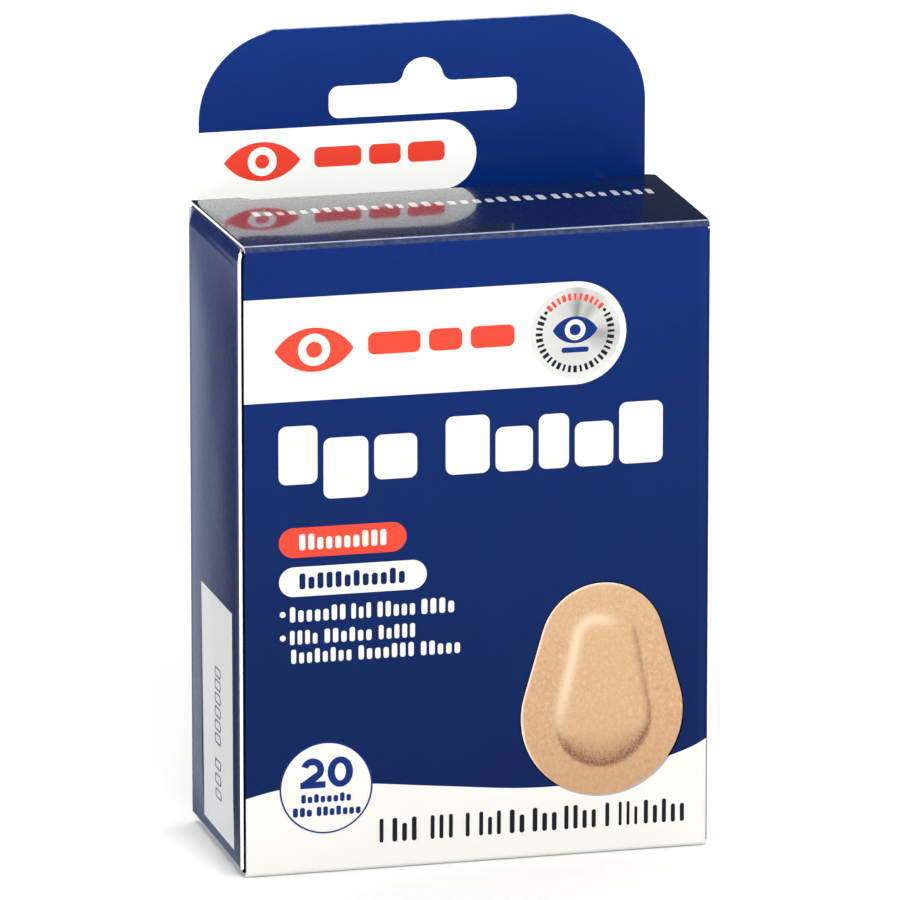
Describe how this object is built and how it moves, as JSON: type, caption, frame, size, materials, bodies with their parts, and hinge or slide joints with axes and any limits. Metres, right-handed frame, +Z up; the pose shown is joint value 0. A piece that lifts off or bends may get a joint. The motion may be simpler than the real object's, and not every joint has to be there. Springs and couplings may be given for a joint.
{
  "type": "eye patch carton",
  "caption": "Paperboard hang-tab carton with slit-lock tuck lid, holding a stack of clear-fronted peel pouches, each sealed round one egg-shaped adhesive eye patch.",
  "frame": {"origin": "middle of the carton's foot, on the surface it stands on", "axes": "+Z up to the hang tab, -Y out of the printed front panel, +X to the right seen from the front"},
  "size_m": [0.0794, 0.036, 0.1342],
  "materials": {
    "printed_board": "gloss aqueous-coated print on white-lined board",
    "plain_board": "uncoated white-lined board",
    "clear_film": "clear, glossy, slightly wrinkled",
    "pouch_paper": "matte, crimped at the seals",
    "nonwoven": "matte non-woven, tan",
    "adhesive": "tacky, thin",
    "pad_felt": "soft felted fibre",
    "facing_net": "smooth non-stick net",
    "liner_paper": "silicone-coated, satin"
  },
  "bodies": {
    "carton": {"front_panel": "printed_board", "back_panel": "printed_board", "left_side_panel": "printed_board", "right_side_panel": "printed_board", "glue_flap": "plain_board", "hang_tab_front_ply": "printed_board", "bottom_outer_flap": "printed_board", "bottom_inner_flap": "plain_board", "bottom_dust_flap_left": "plain_board", "bottom_dust_flap_right": "plain_board", "stacked_films": "clear_film", "stacked_papers": "pouch_paper", "stacked_backings": "nonwoven", "stacked_pads": "pad_felt", "stacked_liners_upper": "liner_paper", "stacked_liners_lower": "liner_paper"},
    "lid": {"top_lid": "printed_board"},
    "tuck_flap": {"top_tuck_flap": "printed_board"},
    "dust_flap_left": {"top_dust_flap_left": "plain_board"},
    "dust_flap_right": {"top_dust_flap_right": "plain_board"},
    "pouch": {"pouch_film": "clear_film", "pouch_paper": "pouch_paper", "patch_backing": "nonwoven", "patch_adhesive": "adhesive", "patch_pad": "pad_felt", "patch_pad_facing": "facing_net", "liner_upper": "liner_paper", "liner_lower": "liner_paper"}
  },
  "joints": [
    {"name": "pouch_draw", "type": "slide", "parent": "carton", "child": "pouch", "axis": [0, 0, 1], "range_m": [0, 0.06544]},
    {"name": "lid_open", "type": "hinge", "parent": "carton", "child": "lid", "pos_m": [0, -0.018, 0.1063], "axis": [1, 0, 0], "range_deg": [0, 150]},
    {"name": "tuck_flap_fold", "type": "hinge", "parent": "lid", "child": "tuck_flap", "pos_m": [0, 0.0149, 0.1063], "axis": [1, 0, 0], "range_deg": [0, 23]},
    {"name": "dust_flap_left_open", "type": "hinge", "parent": "carton", "child": "dust_flap_left", "pos_m": [-0.0397, 0, 0.1057], "axis": [0, -1, 0], "range_deg": [0, 75.5]},
    {"name": "dust_flap_right_open", "type": "hinge", "parent": "carton", "child": "dust_flap_right", "pos_m": [0.0397, 0, 0.1057], "axis": [0, 1, 0], "range_deg": [0, 75.5]}
  ],
  "couplings": [
    {"joint": "lid_open", "follows": "pouch_draw", "rad_per_m": 40},
    {"joint": "tuck_flap_fold", "follows": "pouch_draw", "rad_per_m": 6},
    {"joint": "dust_flap_left_open", "follows": "pouch_draw", "rad_per_m": 20},
    {"joint": "dust_flap_right_open", "follows": "pouch_draw", "rad_per_m": 20}
  ]
}
